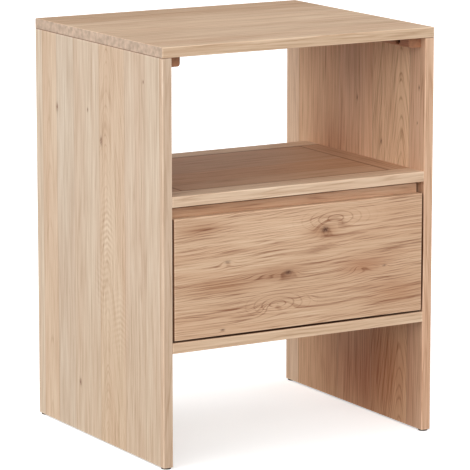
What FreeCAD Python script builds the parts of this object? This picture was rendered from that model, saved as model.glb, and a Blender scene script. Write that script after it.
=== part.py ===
"""Nightstand: two slab sides, an open compartment and one drawer on ball-bearing runners.

Sizes are millimetres, +Z is up and the front faces -Y. Every piece is drawn in one frame, whose
origin is on the floor at the middle of the cabinet's front edge. Each Placement then moves the
piece forward by half the depth, so the cabinet stands centred on the document's origin.
A piece named "left" is drawn once, and its "right" twin is a mirror of it.
"""
import os
import re

import FreeCAD
import Part
import Sketcher

Vector = FreeCAD.Vector

SIZES = {
    # cabinet
    "width": 450,
    "depth": 385,
    "height": 600,
    "board": 15,
    "ease": 1,
    "shelf_base": 374.5,
    "bottom_base": 166,
    "rear_inset": 60,
    "bay_back_thick": 10,
    "bay_back_dowel_spacing": 150,
    # frame-and-panel shelf
    "rail_width": 37.5,
    "tongue_thick": 5,
    "tongue_length": 6,
    "groove_depth": 7,
    "panel_ease": 0.7,
    # cleats under the top
    "cleat_width": 20,
    "cleat_height": 15,
    "cleat_inset": 12.5,
    "cleat_round": 4.5,
    "cleat_bolt_row": 43.5,
    "cleat_bolt_height": 578,
    "bolt_head_width": 10.6,
    "bolt_head_thick": 3,
    "bolt_recess_width": 11.5,
    "bolt_recess_depth": 8,
    "bolt_recess_bevel": 0.8,
    "bolt_width": 6,
    "bolt_bite": 11,
    "hex_key_width": 4,
    "insert_width": 9,
    "insert_depth": 12,
    "cleat_screw_row": 110,
    "cleat_screw_bite": 10,
    # wooden dowels and cam fittings
    "dowel_width": 8,
    "dowel_bite": 9,
    "dowel_grip": 21,
    "dowel_row": 9,
    "thin_dowel_width": 6,
    "thin_dowel_bite": 8,
    "thin_dowel_grip": 16,
    "top_dowel_row": 70,
    "cam_width": 12,
    "cam_height": 11,
    "cam_reach": 24,
    "cam_row": 24,
    "cam_slot_width": 6,
    "cam_bolt_width": 5,
    "cam_bolt_bite": 11,
    # screws
    "screw_width": 4,
    "screw_head_width": 8,
    "screw_head_thick": 2,
    "small_screw_width": 3.5,
    "small_screw_head_width": 6,
    "small_screw_head_thick": 1.2,
    "small_screw_bite": 10,
    # cross recesses for the screwdriver
    "cross_span": 4.4,
    "cross_width": 1,
    "cross_depth": 1.4,
    "small_cross_span": 3.2,
    "small_cross_width": 0.8,
    "small_cross_depth": 0.9,
    "cam_cross_span": 7.5,
    "cam_cross_width": 1.6,
    "cam_cross_depth": 2.2,
    # foot glides
    "glide_width": 14,
    "glide_thick": 2,
    "glide_inset": 7.5,
    "glide_recess": 1.2,
    "nail_width": 1.8,
    "nail_head_width": 5,
    "nail_head_thick": 0.8,
    "nail_length": 15,
    # drawer
    "face_gap": 3,
    "face_height": 173.5,
    "box_thick": 12,
    "box_front_drop": 3,
    "box_front_clearance": 4,
    "box_base": 191,
    "box_height": 150,
    "box_rear": 307.5,
    "drawer_bottom_thick": 6,
    "drawer_bottom_lift": 8,
    "drawer_bottom_edge": 5,
    "drawer_groove_depth": 5.5,
    "face_screw_across": 150,
    "face_screw_rise": 45,
    "face_screw_bite": 10,
    "bottom_screw_across": 120,
    "corner_dowel_rise": 45,
    # runners
    "runner_gap": 12.7,
    "runner_start": 29.5,
    "runner_length": 250,
    "runner_height": 45,
    "runner_metal": 1.2,
    "runner_race": 3,
    "buffer_length": 4.5,
    "buffer_height": 20,
    "buffer_clearance": 0.5,
    "cabinet_member_reach": 8,
    "middle_member_near": 2.2,
    "middle_member_reach": 10,
    "drawer_member_near": 5,
    "runner_screw_inset": 22,
    "cage_metal": 0.4,
    "cage_start": 94,
    "cage_length": 116,
    "cage_reach": 5.2,
    "outer_cage_near": 1.5,
    "inner_cage_near": 3.9,
    "outer_ball_line": 5,
    "inner_ball_line": 7,
    "ball_width": 2.4,
    "ball_hole_width": 2.8,
    "ball_first": 102,
    "ball_spacing": 12.5,
}
BALLS_PER_ROW = 9
COUNTERSINK = -45  # degrees; a head narrows as it goes into the work

# Places that several pieces share, worked out from the sheet.
INNER = "(width/2 - board)"
UNDER_TOP = "(height - board)"
SHELF_DEPTH = "(depth - rear_inset)"
BAY_BACK_FRONT = f"({SHELF_DEPTH} - bay_back_thick)"
FACE_HALF = f"({INNER} - face_gap)"
FACE_BASE = "(bottom_base + board + face_gap)"
BOX_FRONT_REAR = "(board + box_thick)"
BOX_OUTER = f"({INNER} - runner_gap)"
BOX_INNER = f"({BOX_OUTER} - box_thick)"
BOX_TOP = "(box_base + box_height)"
BOX_MIDDLE = f"({BOX_OUTER} - box_thick/2)"
DRAWER_BOTTOM = "(box_base + drawer_bottom_lift)"
DRAWER_FLOOR = f"({DRAWER_BOTTOM} + drawer_bottom_thick)"
RUNNER_AXIS = "(box_base + box_height/2)"
MEMBER_LENGTH = "(runner_length - buffer_length - buffer_clearance)"
MIDDLE_HALF = "(runner_height/2 - runner_metal - runner_race)"
DRAWER_MEMBER_HALF = f"({MIDDLE_HALF} - runner_metal - runner_race)"

SHELF_LEVELS = ("shelf_base", "shelf_base + board")
TONGUE_LEVELS = ("shelf_base + board/2 - tongue_thick/2", "shelf_base + board/2 + tongue_thick/2")
SIDE_RAIL_SPAN = ("rail_width", f"{SHELF_DEPTH} - rail_width")
TONGUE_SPAN = ("rail_width - tongue_length", f"{SHELF_DEPTH} - rail_width + tongue_length")

DOWEL_ROWS = ["dowel_row", f"{SHELF_DEPTH}/2", f"{SHELF_DEPTH} - dowel_row"]
CAM_ROWS = ["cam_row", f"{SHELF_DEPTH} - cam_row"]
TOP_DOWEL_ROWS = ["top_dowel_row", "depth/2", "depth - top_dowel_row"]
CLEAT_SCREW_ROWS = ["cleat_screw_row", "depth - cleat_screw_row"]
CLEAT_BOLT_ROWS = ["cleat_bolt_row", "depth - cleat_bolt_row"]
GLIDE_ROWS = ["glide_inset", "depth - glide_inset"]
RUNNER_SCREW_ROWS = ["runner_start + runner_screw_inset",
                     "runner_start + runner_length - 2*runner_screw_inset"]
BAY_BACK_DOWEL_PLACES = ["-bay_back_dowel_spacing", "0", "bay_back_dowel_spacing"]
BAY_BACK_DOWEL_ROW = [f"{BAY_BACK_FRONT} + bay_back_thick/2"]
BOTTOM_SCREW_PLACES = ["-bottom_screw_across", "0", "bottom_screw_across"]
CORNER_DOWEL_HEIGHTS = [f"{RUNNER_AXIS} - corner_dowel_rise", f"{RUNNER_AXIS} + corner_dowel_rise"]

# Each view's origin plane, and whether that plane's normal runs along (+1) or against (-1) the axis.
VIEWS = {"top": ("XY_Plane", 1), "front": ("XZ_Plane", -1), "side": ("YZ_Plane", 1)}

doc = FreeCAD.newDocument("Nightstand")
sheet = doc.addObject("Spreadsheet::Sheet", "Sizes")
pieces = []


def fill_sheet():
    """Writes the driving dimensions into the spreadsheet, one alias to a row."""
    for row, (alias, size) in enumerate(SIZES.items(), start=1):
        sheet.set(f"A{row}", alias)
        sheet.set(f"B{row}", str(size))
        sheet.setAlias(f"B{row}", alias)
    doc.recompute()


def bound(formula):
    """A formula of sheet names, written so that any object can be bound to it."""
    return re.sub(r"[a-z]\w*", r"Sizes.\g<0>", formula)


def value(formula):
    """The number that a formula of sheet names gives now."""
    return float(sheet.evalExpression(formula))


def new_body(label):
    """An empty body that is one piece, or one group of identical pieces."""
    body = doc.addObject("PartDesign::Body", label)
    body.Label = label
    body.AllowCompound = True
    body.setExpression("Placement.Base.y", bound("-depth/2"))
    pieces.append(body)
    return body


def origin_feature(body, role):
    """One of the body's own origin planes or axes."""
    return next(item for item in body.Origin.OriginFeatures if item.Role == role)


def new_sketch(body, view, level):
    """An empty sketch in the top, front or side view, at a level along the view's axis."""
    role, sense = VIEWS[view]
    sketch = body.newObject("Sketcher::SketchObject", f"{body.Name}_sketch")
    sketch.AttachmentSupport = [(origin_feature(body, role), "")]
    sketch.MapMode = "FlatFace"
    sketch.setExpression("AttachmentOffset.Base.z", bound(f"{sense}*({level})"))
    return sketch


def place_point(sketch, geometry, point, across, up):
    """Binds one point of a sketch to two distances from the sketch's origin."""
    for kind, formula in (("DistanceX", across), ("DistanceY", up)):
        distance = Sketcher.Constraint(kind, -1, 1, geometry, point, value(formula))
        index = sketch.addConstraint(distance)
        sketch.setExpression(f"Constraints[{index}]", bound(formula))


def add_rectangle(sketch, left, low, right, high):
    """Draws a rectangle whose two opposite corners are bound to formulas."""
    x_low, y_low, x_high, y_high = (value(edge) for edge in (left, low, right, high))
    corners = [Vector(x_low, y_low), Vector(x_high, y_low),
               Vector(x_high, y_high), Vector(x_low, y_high)]
    lines = [sketch.addGeometry(Part.LineSegment(corners[side], corners[(side + 1) % 4]), False)
             for side in range(4)]
    for side, line in enumerate(lines):
        sketch.addConstraint(Sketcher.Constraint("Coincident", line, 2, lines[(side + 1) % 4], 1))
        sketch.addConstraint(Sketcher.Constraint(("Horizontal", "Vertical")[side % 2], line))
    place_point(sketch, lines[0], 1, left, low)
    place_point(sketch, lines[2], 1, right, high)


def add_circles(sketch, centres, diameter):
    """Draws circles of one diameter, each with its centre bound to two formulas."""
    for across, up in centres:
        centre = Vector(value(across), value(up))
        circle = sketch.addGeometry(Part.Circle(centre, Vector(0, 0, 1), value(diameter)/2), False)
        place_point(sketch, circle, 3, across, up)
        index = sketch.addConstraint(Sketcher.Constraint("Diameter", circle, value(diameter)))
        sketch.setExpression(f"Constraints[{index}]", bound(diameter))


def extrude(body, kind, sketch, view, length, towards, taper=0):
    """Pads or pockets a sketch along the view's axis; towards is +1 or -1."""
    volume_before = body.Shape.Volume if kind == "Pocket" else 0
    feature = body.newObject(f"PartDesign::{kind}", f"{body.Name}_{kind}")
    feature.Profile = sketch
    feature.setExpression("Length", bound(length))
    sense = VIEWS[view][1] * towards
    feature.Reversed = sense < 0 if kind == "Pad" else sense > 0
    feature.TaperAngle = taper
    doc.recompute()
    if kind == "Pocket" and body.Shape.Volume > volume_before - 1e-3:
        raise RuntimeError(f"{feature.Name} cuts nothing")
    return feature


def block(body, kind, across, along, up):
    """A rectangular pad or pocket, from its (low, high) formulas in X, Y and Z."""
    sketch = new_sketch(body, "top", up[0])
    add_rectangle(sketch, across[0], along[0], across[1], along[1])
    return extrude(body, kind, sketch, "top", f"{up[1]} - ({up[0]})", 1)


def drill(body, kind, view, level, length, centres, diameter, towards=1, taper=0):
    """Round pads or pockets that start at one level and run along the view's axis."""
    sketch = new_sketch(body, view, level)
    add_circles(sketch, centres, diameter)
    return extrude(body, kind, sketch, view, length, towards, taper)


def cut_crosses(body, view, level, centres, size, towards=1):
    """Cross recesses in screw heads; size is the start of the recess's names in the sheet."""
    across_arm = (f"{size}_span/2", f"{size}_width/2")
    cuts = []
    for half_across, half_up in (across_arm, across_arm[::-1]):
        sketch = new_sketch(body, view, level)
        for across, up in centres:
            add_rectangle(sketch, f"{across} - {half_across}", f"{up} - {half_up}",
                          f"{across} + {half_across}", f"{up} + {half_up}")
        cuts.append(extrude(body, "Pocket", sketch, view, f"{size}_depth", towards))
    return cuts


def round_edges(body, radius, wanted=None):
    """Rounds every edge of the body so far, or only the wanted ones."""
    base = body.Tip
    names = [f"Edge{number}" for number, edge in enumerate(base.Shape.Edges, start=1)
             if wanted is None or wanted(edge)]
    fillet = body.newObject("PartDesign::Fillet", f"{body.Name}_Fillet")
    fillet.Base = (base, names)
    fillet.setExpression("Radius", bound(radius))
    doc.recompute()


def mirror_to_right(body, features):
    """Repeats features of a group on the other side of the cabinet's middle plane."""
    mirrored = body.newObject("PartDesign::Mirrored", f"{body.Name}_Mirrored")
    mirrored.Originals = features
    mirrored.MirrorPlane = (origin_feature(body, "YZ_Plane"), [""])
    body.Tip = mirrored
    doc.recompute()


def right_twin(left_piece):
    """The mirror image of a left-hand piece, as a piece of its own."""
    label = left_piece.Label.replace("left", "right")
    twin = doc.addObject("Part::Mirroring", label)
    twin.Label = label
    twin.Source = left_piece
    twin.Normal = Vector(1, 0, 0)
    pieces.append(twin)


def rows(rows_along, height):
    """Centres in the side view: every row along the depth, at one height."""
    return [(row, height) for row in rows_along]


def columns(places_across, rows_along):
    """Centres in the top view: every place across, at every row along the depth."""
    return [(across, along) for across in places_across for along in rows_along]


# ---------------------------------------------------------------- cabinet panels

def make_top_panel():
    body = new_body("top_panel")
    block(body, "Pad", ("-width/2", "width/2"), ("0", "depth"), (UNDER_TOP, "height"))
    round_edges(body, "ease")
    side_middles = ["board/2 - width/2", "width/2 - board/2"]
    drill(body, "Pocket", "top", UNDER_TOP, "thin_dowel_bite",
          columns(side_middles, TOP_DOWEL_ROWS), "thin_dowel_width")
    cleat_middles = [f"cleat_width/2 - {INNER}", f"{INNER} - cleat_width/2"]
    drill(body, "Pocket", "top", UNDER_TOP, "cleat_screw_bite",
          columns(cleat_middles, CLEAT_SCREW_ROWS), "screw_width")


def make_side_panels():
    """The slab sides, bored on the inner face for every fitting that enters them."""
    body = new_body("left_side_panel")
    block(body, "Pad", ("-width/2", f"-{INNER}"), ("0", "depth"), ("glide_thick", UNDER_TOP))
    round_edges(body, "ease")
    for base in ("shelf_base", "bottom_base"):
        height = f"{base} + board/2"
        drill(body, "Pocket", "side", f"-{INNER}", "dowel_bite",
              rows(DOWEL_ROWS, height), "dowel_width", towards=-1)
        drill(body, "Pocket", "side", f"-{INNER}", "cam_bolt_bite",
              rows(CAM_ROWS, height), "cam_bolt_width", towards=-1)
    drill(body, "Pocket", "side", f"-{INNER}", "insert_depth",
          rows(CLEAT_BOLT_ROWS, "cleat_bolt_height"), "insert_width", towards=-1)
    drill(body, "Pocket", "side", f"-{INNER}", "small_screw_bite",
          rows(RUNNER_SCREW_ROWS, RUNNER_AXIS), "small_screw_width", towards=-1)
    drill(body, "Pocket", "top", UNDER_TOP, "thin_dowel_grip",
          columns(["board/2 - width/2"], TOP_DOWEL_ROWS), "thin_dowel_width", towards=-1)
    drill(body, "Pocket", "top", "glide_thick", "nail_length",
          columns(["glide_inset - width/2"], GLIDE_ROWS), "nail_width")
    right_twin(body)


def bore_for_side_joint(body, base, dowel_rows, cam_rows):
    """Bores both ends of a board for its dowels, cam bolts and cams."""
    height = f"{base} + board/2"
    for level, towards in ((f"-{INNER}", 1), (INNER, -1)):
        if dowel_rows:
            drill(body, "Pocket", "side", level, "dowel_grip",
                  rows(dowel_rows, height), "dowel_width", towards)
        drill(body, "Pocket", "side", level, "cam_reach",
              rows(cam_rows, height), "cam_bolt_width", towards)
    cam_places = [f"cam_reach - {INNER}", f"{INNER} - cam_reach"]
    drill(body, "Pocket", "top", base, "cam_height", columns(cam_places, cam_rows), "cam_width")


def make_bottom_panel():
    body = new_body("bottom_panel")
    block(body, "Pad", (f"-{INNER}", INNER), ("0", SHELF_DEPTH),
          ("bottom_base", "bottom_base + board"))
    round_edges(body, "panel_ease")
    bore_for_side_joint(body, "bottom_base", DOWEL_ROWS, CAM_ROWS)
    drill(body, "Pocket", "top", "bottom_base + board", "thin_dowel_bite",
          columns(BAY_BACK_DOWEL_PLACES, BAY_BACK_DOWEL_ROW), "thin_dowel_width", towards=-1)


# ---------------------------------------------------------------- shelf frame and panel

def make_cross_rail(label, along, groove, ends, for_bay_back):
    """The front or rear rail, grooved on its inner edge and bored for its side joints."""
    dowel_row, cam_row = ends
    body = new_body(label)
    block(body, "Pad", (f"-{INNER}", INNER), along, SHELF_LEVELS)
    round_edges(body, "panel_ease")
    block(body, "Pocket", (f"-{INNER}", INNER), groove, TONGUE_LEVELS)
    bore_for_side_joint(body, "shelf_base", [dowel_row], [cam_row])
    if for_bay_back:
        drill(body, "Pocket", "top", "shelf_base", "thin_dowel_bite",
              columns(BAY_BACK_DOWEL_PLACES, BAY_BACK_DOWEL_ROW), "thin_dowel_width")


def make_side_rails():
    """The short rails: a groove for the panel, and a stub tenon at each end."""
    body = new_body("shelf_left_rail")
    block(body, "Pad", (f"-{INNER}", f"rail_width - {INNER}"), SIDE_RAIL_SPAN, SHELF_LEVELS)
    round_edges(body, "panel_ease")
    block(body, "Pad", (f"-{INNER}", f"rail_width - {INNER}"), TONGUE_SPAN, TONGUE_LEVELS)
    block(body, "Pocket", (f"rail_width - groove_depth - {INNER}", f"rail_width - {INNER}"),
          TONGUE_SPAN, TONGUE_LEVELS)
    drill(body, "Pocket", "side", f"-{INNER}", "dowel_grip",
          [(f"{SHELF_DEPTH}/2", "shelf_base + board/2")], "dowel_width")
    right_twin(body)


def make_shelf_panel():
    """The loose panel, held in the frame's grooves by a tongue on every edge."""
    body = new_body("shelf_panel")
    block(body, "Pad", (f"rail_width - {INNER}", f"{INNER} - rail_width"), SIDE_RAIL_SPAN,
          SHELF_LEVELS)
    round_edges(body, "panel_ease")
    block(body, "Pad",
          (f"rail_width - tongue_length - {INNER}", f"{INNER} - rail_width + tongue_length"),
          TONGUE_SPAN, TONGUE_LEVELS)


def make_shelf():
    make_cross_rail("shelf_front_rail", ("0", "rail_width"),
                    ("rail_width - groove_depth", "rail_width"),
                    (DOWEL_ROWS[0], CAM_ROWS[0]), for_bay_back=False)
    rear_rail_front = f"{SHELF_DEPTH} - rail_width"
    make_cross_rail("shelf_rear_rail", (rear_rail_front, SHELF_DEPTH),
                    (rear_rail_front, f"{rear_rail_front} + groove_depth"),
                    (DOWEL_ROWS[2], CAM_ROWS[1]), for_bay_back=True)
    make_side_rails()
    make_shelf_panel()


def make_drawer_bay_back():
    body = new_body("drawer_bay_back")
    block(body, "Pad", (f"-{INNER}", INNER), (BAY_BACK_FRONT, SHELF_DEPTH),
          ("bottom_base + board", "shelf_base"))
    for level, towards in (("bottom_base + board", 1), ("shelf_base", -1)):
        drill(body, "Pocket", "top", level, "thin_dowel_grip",
              columns(BAY_BACK_DOWEL_PLACES, BAY_BACK_DOWEL_ROW), "thin_dowel_width", towards)


# ---------------------------------------------------------------- cleats under the top

def is_lower_inner_edge(edge):
    """Whether an edge of the left cleat is the long one that faces down into the room."""
    box = edge.BoundBox
    inner_side = value(f"cleat_width - {INNER}")
    return box.XMin > inner_side - 0.01 and box.ZMax < value(f"{UNDER_TOP} - cleat_height") + 0.01


def make_cleats():
    """Battens that tie the sides to the top, with recessed bolt heads on the inner face."""
    body = new_body("left_top_cleat")
    inner_face = f"cleat_width - {INNER}"
    block(body, "Pad", (f"-{INNER}", inner_face), ("cleat_inset", "depth - cleat_inset"),
          (f"{UNDER_TOP} - cleat_height", UNDER_TOP))
    round_edges(body, "cleat_round", is_lower_inner_edge)
    bolt_centres = rows(CLEAT_BOLT_ROWS, "cleat_bolt_height")
    drill(body, "Pocket", "side", inner_face, "bolt_recess_depth",
          bolt_centres, "bolt_recess_width", towards=-1)
    drill(body, "Pocket", "side", inner_face, "bolt_recess_bevel", bolt_centres,
          "bolt_recess_width + 2*bolt_recess_bevel", towards=-1, taper=COUNTERSINK)
    drill(body, "Pocket", "side", f"{inner_face} - bolt_recess_depth",
          "cleat_width - bolt_recess_depth", bolt_centres, "bolt_width", towards=-1)
    screw_centres = columns([f"cleat_width/2 - {INNER}"], CLEAT_SCREW_ROWS)
    drill(body, "Pocket", "top", f"{UNDER_TOP} - cleat_height", "screw_head_thick",
          screw_centres, "screw_head_width", taper=COUNTERSINK)
    drill(body, "Pocket", "top", f"{UNDER_TOP} - cleat_height", "cleat_height",
          screw_centres, "screw_width")
    right_twin(body)


def make_cleat_fittings():
    """Screws up into the top, and bolts through the cleats into threaded inserts."""
    screws = new_body("cleat_screws")
    screw_centres = columns([f"cleat_width/2 - {INNER}"], CLEAT_SCREW_ROWS)
    cleat_base = f"{UNDER_TOP} - cleat_height"
    heads = drill(screws, "Pad", "top", cleat_base, "screw_head_thick",
                  screw_centres, "screw_head_width", taper=COUNTERSINK)
    shanks = drill(screws, "Pad", "top", cleat_base, "cleat_height + cleat_screw_bite",
                   screw_centres, "screw_width")
    crosses = cut_crosses(screws, "top", cleat_base, screw_centres, "cross")
    mirror_to_right(screws, [heads, shanks, *crosses])

    bolts = new_body("cleat_bolts")
    bolt_centres = rows(CLEAT_BOLT_ROWS, "cleat_bolt_height")
    seat = f"cleat_width - bolt_recess_depth - {INNER}"
    heads = drill(bolts, "Pad", "side", seat, "bolt_head_thick", bolt_centres, "bolt_head_width")
    shanks = drill(bolts, "Pad", "side", seat, "cleat_width - bolt_recess_depth + bolt_bite",
                   bolt_centres, "bolt_width", towards=-1)
    sockets = drill(bolts, "Pocket", "side", f"{seat} + bolt_head_thick", "bolt_head_thick/2",
                    bolt_centres, "hex_key_width", towards=-1)
    mirror_to_right(bolts, [heads, shanks, sockets])

    inserts = new_body("cleat_bolt_inserts")
    shells = drill(inserts, "Pad", "side", f"-{INNER}", "insert_depth",
                   bolt_centres, "insert_width", towards=-1)
    threads = drill(inserts, "Pocket", "side", f"-{INNER}", "bolt_bite",
                    bolt_centres, "bolt_width", towards=-1)
    mirror_to_right(inserts, [shells, threads])


# ---------------------------------------------------------------- dowels and cam fittings

def make_side_joint_fittings(name, base):
    """Dowels, cam bolts and cams that hold one board between the side panels."""
    height = f"{base} + board/2"
    dowels = new_body(f"{name}_dowels")
    pegs = drill(dowels, "Pad", "side", f"-dowel_bite - {INNER}", "dowel_bite + dowel_grip",
                 rows(DOWEL_ROWS, height), "dowel_width")
    mirror_to_right(dowels, [pegs])

    bolts = new_body(f"{name}_cam_bolts")
    shanks = drill(bolts, "Pad", "side", f"-cam_bolt_bite - {INNER}", "cam_bolt_bite + cam_reach",
                   rows(CAM_ROWS, height), "cam_bolt_width")
    mirror_to_right(bolts, [shanks])

    cams = new_body(f"{name}_cams")
    centres = columns([f"cam_reach - {INNER}"], CAM_ROWS)
    drums = drill(cams, "Pad", "top", base, "cam_height", centres, "cam_width")
    jaws = drill(cams, "Pocket", "side", f"cam_reach - {INNER}", "cam_width/2",
                 rows(CAM_ROWS, height), "cam_slot_width", towards=-1)
    crosses = cut_crosses(cams, "top", base, centres, "cam_cross")
    mirror_to_right(cams, [drums, jaws, *crosses])


def make_upright_dowels():
    """Thin dowels: side panels to top, and drawer bay back to bottom and shelf."""
    top_dowels = new_body("top_dowels")
    pegs = drill(top_dowels, "Pad", "top", f"{UNDER_TOP} - thin_dowel_grip",
                 "thin_dowel_grip + thin_dowel_bite",
                 columns(["board/2 - width/2"], TOP_DOWEL_ROWS), "thin_dowel_width")
    mirror_to_right(top_dowels, [pegs])

    back_dowels = new_body("bay_back_dowels")
    centres = columns(BAY_BACK_DOWEL_PLACES, BAY_BACK_DOWEL_ROW)
    for level in ("bottom_base + board - thin_dowel_bite", "shelf_base - thin_dowel_grip"):
        drill(back_dowels, "Pad", "top", level, "thin_dowel_grip + thin_dowel_bite",
              centres, "thin_dowel_width")


# ---------------------------------------------------------------- foot glides

def make_foot_glides():
    """Nail-on glides under the four corners, with sunk nail heads."""
    centres = columns(["glide_inset - width/2"], GLIDE_ROWS)
    glides = new_body("foot_glides")
    discs = drill(glides, "Pad", "top", "0", "glide_thick", centres, "glide_width")
    recesses = drill(glides, "Pocket", "top", "0", "glide_recess", centres, "nail_head_width")
    holes = drill(glides, "Pocket", "top", "0", "glide_thick", centres, "nail_width")
    mirror_to_right(glides, [discs, recesses, holes])

    nails = new_body("glide_nails")
    heads = drill(nails, "Pad", "top", "glide_recess - nail_head_thick", "nail_head_thick",
                  centres, "nail_head_width")
    shanks = drill(nails, "Pad", "top", "glide_recess",
                   "glide_thick - glide_recess + nail_length", centres, "nail_width")
    mirror_to_right(nails, [heads, shanks])


# ---------------------------------------------------------------- drawer

def make_drawer_fronts():
    """The show face, and the taller box front that it is screwed to."""
    screw_places = [(across, f"{RUNNER_AXIS} {rise}")
                    for across in ("-face_screw_across", "face_screw_across")
                    for rise in ("- face_screw_rise", "+ face_screw_rise")]
    face = new_body("drawer_face")
    block(face, "Pad", (f"-{FACE_HALF}", FACE_HALF), ("0", "board"),
          (FACE_BASE, f"{FACE_BASE} + face_height"))
    round_edges(face, "ease")
    drill(face, "Pocket", "front", "board", "face_screw_bite", screw_places,
          "screw_width", towards=-1)

    box_front = new_body("drawer_box_front")
    block(box_front, "Pad", (f"-{FACE_HALF}", FACE_HALF), ("board", BOX_FRONT_REAR),
          (f"{FACE_BASE} + box_front_drop", "shelf_base - box_front_clearance"))
    round_edges(box_front, "ease")
    block(box_front, "Pocket",
          (f"-({BOX_INNER} + drawer_bottom_edge)", f"{BOX_INNER} + drawer_bottom_edge"),
          (f"{BOX_FRONT_REAR} - drawer_groove_depth", BOX_FRONT_REAR),
          (DRAWER_BOTTOM, DRAWER_FLOOR))
    drill(box_front, "Pocket", "front", BOX_FRONT_REAR, "box_thick", screw_places,
          "screw_width", towards=-1)
    corner_places = [(f"{sign}{BOX_MIDDLE}", height)
                     for sign in ("-", "") for height in CORNER_DOWEL_HEIGHTS]
    drill(box_front, "Pocket", "front", BOX_FRONT_REAR, "thin_dowel_bite", corner_places,
          "thin_dowel_width", towards=-1)

    screws = new_body("drawer_face_screws")
    drill(screws, "Pad", "front", BOX_FRONT_REAR, "screw_head_thick", screw_places,
          "screw_head_width")
    drill(screws, "Pad", "front", BOX_FRONT_REAR, "box_thick + face_screw_bite", screw_places,
          "screw_width", towards=-1)
    cut_crosses(screws, "front", f"{BOX_FRONT_REAR} + screw_head_thick", screw_places, "cross",
                towards=-1)


def make_drawer_sides():
    body = new_body("drawer_left_side")
    block(body, "Pad", (f"-{BOX_OUTER}", f"-{BOX_INNER}"), (BOX_FRONT_REAR, "box_rear"),
          ("box_base", BOX_TOP))
    round_edges(body, "panel_ease")
    block(body, "Pocket", (f"-({BOX_INNER} + drawer_groove_depth)", f"-{BOX_INNER}"),
          (BOX_FRONT_REAR, "box_rear"), (DRAWER_BOTTOM, DRAWER_FLOOR))
    drill(body, "Pocket", "front", BOX_FRONT_REAR, "thin_dowel_grip",
          [(f"-{BOX_MIDDLE}", height) for height in CORNER_DOWEL_HEIGHTS], "thin_dowel_width")
    drill(body, "Pocket", "side", f"-{BOX_INNER}", "thin_dowel_bite",
          [("box_rear - box_thick/2", height) for height in CORNER_DOWEL_HEIGHTS],
          "thin_dowel_width", towards=-1)
    drill(body, "Pocket", "side", f"-{BOX_OUTER}", "small_screw_bite",
          rows(RUNNER_SCREW_ROWS, RUNNER_AXIS), "small_screw_width")
    right_twin(body)


def make_drawer_back():
    body = new_body("drawer_back")
    block(body, "Pad", (f"-{BOX_INNER}", BOX_INNER), ("box_rear - box_thick", "box_rear"),
          (DRAWER_FLOOR, BOX_TOP))
    round_edges(body, "panel_ease")
    for level, towards in ((f"-{BOX_INNER}", 1), (BOX_INNER, -1)):
        drill(body, "Pocket", "side", level, "thin_dowel_grip",
              [("box_rear - box_thick/2", height) for height in CORNER_DOWEL_HEIGHTS],
              "thin_dowel_width", towards)
    drill(body, "Pocket", "top", DRAWER_FLOOR, "small_screw_bite",
          columns(BOTTOM_SCREW_PLACES, ["box_rear - box_thick/2"]), "small_screw_width")


def make_drawer_bottom():
    """A thin panel, grooved into the front and sides and screwed up under the back."""
    body = new_body("drawer_bottom")
    half = f"({BOX_INNER} + drawer_bottom_edge)"
    centres = columns(BOTTOM_SCREW_PLACES, ["box_rear - box_thick/2"])
    block(body, "Pad", (f"-{half}", half), (f"{BOX_FRONT_REAR} - drawer_bottom_edge", "box_rear"),
          (DRAWER_BOTTOM, DRAWER_FLOOR))
    drill(body, "Pocket", "top", DRAWER_BOTTOM, "small_screw_head_thick", centres,
          "small_screw_head_width", taper=COUNTERSINK)
    drill(body, "Pocket", "top", DRAWER_BOTTOM, "drawer_bottom_thick", centres,
          "small_screw_width")

    screws = new_body("drawer_bottom_screws")
    drill(screws, "Pad", "top", DRAWER_BOTTOM, "small_screw_head_thick", centres,
          "small_screw_head_width", taper=COUNTERSINK)
    drill(screws, "Pad", "top", DRAWER_BOTTOM, "drawer_bottom_thick + small_screw_bite", centres,
          "small_screw_width")
    cut_crosses(screws, "top", DRAWER_BOTTOM, centres, "small_cross")


def make_drawer_dowels():
    """Dowels in the four corners of the drawer box."""
    dowels = new_body("drawer_dowels")
    front_pegs = drill(dowels, "Pad", "front", f"{BOX_FRONT_REAR} - thin_dowel_bite",
                       "thin_dowel_bite + thin_dowel_grip",
                       [(f"-{BOX_MIDDLE}", height) for height in CORNER_DOWEL_HEIGHTS],
                       "thin_dowel_width")
    rear_pegs = drill(dowels, "Pad", "side", f"-({BOX_INNER} + thin_dowel_bite)",
                      "thin_dowel_bite + thin_dowel_grip",
                      [("box_rear - box_thick/2", height) for height in CORNER_DOWEL_HEIGHTS],
                      "thin_dowel_width")
    mirror_to_right(dowels, [front_pegs, rear_pegs])


# ---------------------------------------------------------------- runners

def heights(half):
    """The (low, high) formulas of a runner part that is centred on the runner's axis."""
    return (f"{RUNNER_AXIS} - {half}", f"{RUNNER_AXIS} + {half}")


def make_channel(label, near, far, half, wall, along, web_at_near):
    """A rolled channel: near and far are distances from the side panel's inner face."""
    body = new_body(label)
    block(body, "Pad", (f"{near} - {INNER}", f"{far} - {INNER}"), along, heights(half))
    hollow = (f"{near} + {wall}", far) if web_at_near else (near, f"{far} - {wall}")
    block(body, "Pocket", (f"{hollow[0]} - {INNER}", f"{hollow[1]} - {INNER}"), along,
          heights(f"({half} - {wall})"))
    return body


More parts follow.
